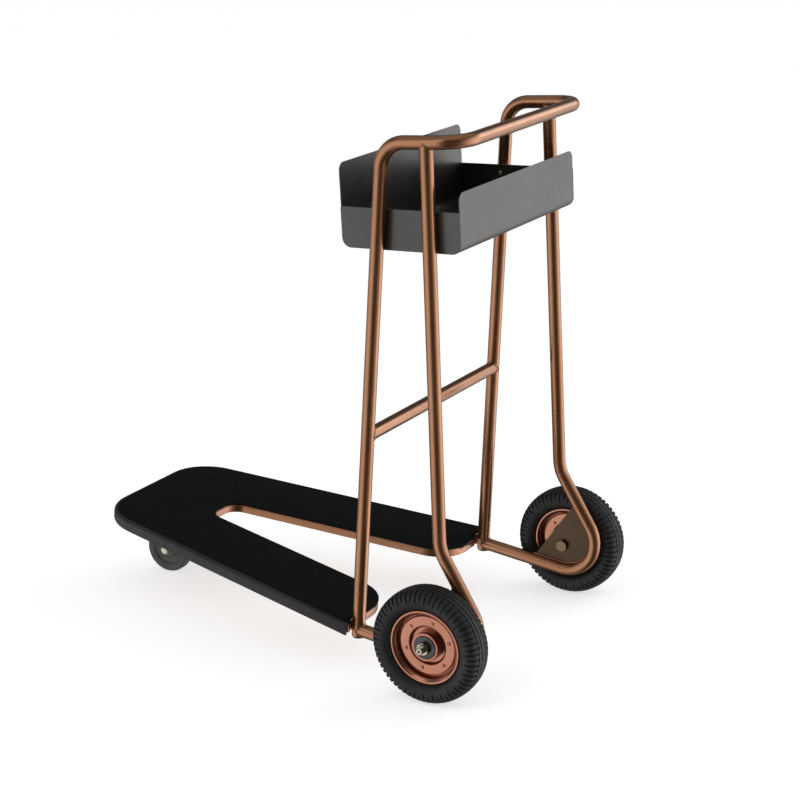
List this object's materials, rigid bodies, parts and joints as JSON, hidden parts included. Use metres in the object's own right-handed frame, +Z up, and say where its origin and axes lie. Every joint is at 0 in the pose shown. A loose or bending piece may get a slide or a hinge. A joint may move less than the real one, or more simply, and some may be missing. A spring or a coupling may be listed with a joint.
{
  "type": "luggage cart",
  "caption": "Rigid nesting luggage cart with a slotted tapered deck, bent-tube frame with push handle, sheet-metal basket, large rear wheels and a swivel caster at the nose.",
  "frame": {"origin": "middle of the cart's footprint, on the floor", "axes": "+X forward towards the nose of the deck, +Y to the cart's left, +Z up"},
  "size_m": [0.956, 0.677, 1.0285],
  "materials": {
    "bronze_tube": "satin metallic bronze",
    "dark_bronze": "satin dark bronze",
    "rim_copper": "satin copper",
    "anthracite_sheet": "satin anthracite",
    "tyre": "matte black rubber with lugs",
    "bumper_rubber": "matte dark grey",
    "plug_rubber": "matte black",
    "deck_mat": "matte black mat",
    "caster_grey": "matte grey",
    "dark_steel": "dark steel",
    "zinc": "bright zinc plated"
  },
  "bodies": {
    "frame": {"main_hoop": "bronze_tube", "side_frame_left": "bronze_tube", "axle_plate_left": "dark_bronze", "post_plug_left": "plug_rubber", "side_frame_right": "bronze_tube", "axle_plate_right": "dark_bronze", "post_plug_right": "plug_rubber", "crossbar": "bronze_tube", "deck_mat": "deck_mat", "deck_tray": "bronze_tube", "bumper": "bumper_rubber", "nose_beam": "bronze_tube", "deck_rail_left": "bronze_tube", "deck_rail_right": "bronze_tube", "caster_bracket": "bronze_tube", "basket_shell": "anthracite_sheet", "basket_end_left": "anthracite_sheet", "basket_screw_front_left": "zinc", "basket_screw_rear_left": "zinc", "basket_end_right": "anthracite_sheet", "basket_screw_front_right": "zinc", "basket_screw_rear_right": "zinc", "spacer_left": "zinc", "axle_washer_left": "dark_steel", "axle_nut_left": "zinc", "axle_bolt_left": "zinc", "spacer_right": "zinc", "axle_washer_right": "dark_steel", "axle_nut_right": "zinc", "axle_bolt_right": "zinc", "caster_plate": "zinc", "caster_bolt_rear_right": "zinc", "caster_bolt_rear_left": "zinc", "caster_bolt_front_right": "zinc", "caster_bolt_front_left": "zinc", "caster_kingpin": "zinc"},
    "wheel_left": {"tyre_left": "tyre", "rim_outer_left": "rim_copper", "rim_inner_left": "rim_copper", "hub_left": "rim_copper", "bearing_outer_left": "dark_steel", "bearing_inner_left": "dark_steel"},
    "wheel_right": {"tyre_right": "tyre", "rim_outer_right": "rim_copper", "rim_inner_right": "rim_copper", "hub_right": "rim_copper", "bearing_outer_right": "dark_steel", "bearing_inner_right": "dark_steel"},
    "caster_fork": {"caster_ball_race": "dark_steel", "caster_fork": "zinc", "caster_spacer_tube": "zinc", "caster_axle_bolt": "zinc", "caster_axle_nut": "zinc"},
    "caster_wheel": {"caster_tread": "caster_grey", "caster_core": "caster_grey", "caster_bush": "dark_steel"}
  },
  "joints": [
    {"name": "wheel_left_spin", "type": "hinge", "parent": "frame", "child": "wheel_left", "pos_m": [-0.368, 0.2965, 0.11], "axis": [0, 1, 0], "continuous": true},
    {"name": "wheel_right_spin", "type": "hinge", "parent": "frame", "child": "wheel_right", "pos_m": [-0.368, -0.2965, 0.11], "axis": [0, 1, 0], "continuous": true},
    {"name": "caster_swivel", "type": "hinge", "parent": "frame", "child": "caster_fork", "pos_m": [0.395, 0, 0.118], "axis": [0, 0, 1], "continuous": true},
    {"name": "caster_wheel_spin", "type": "hinge", "parent": "caster_fork", "child": "caster_wheel", "pos_m": [0.428, 0, 0.05], "axis": [0, 1, 0], "continuous": true}
  ]
}
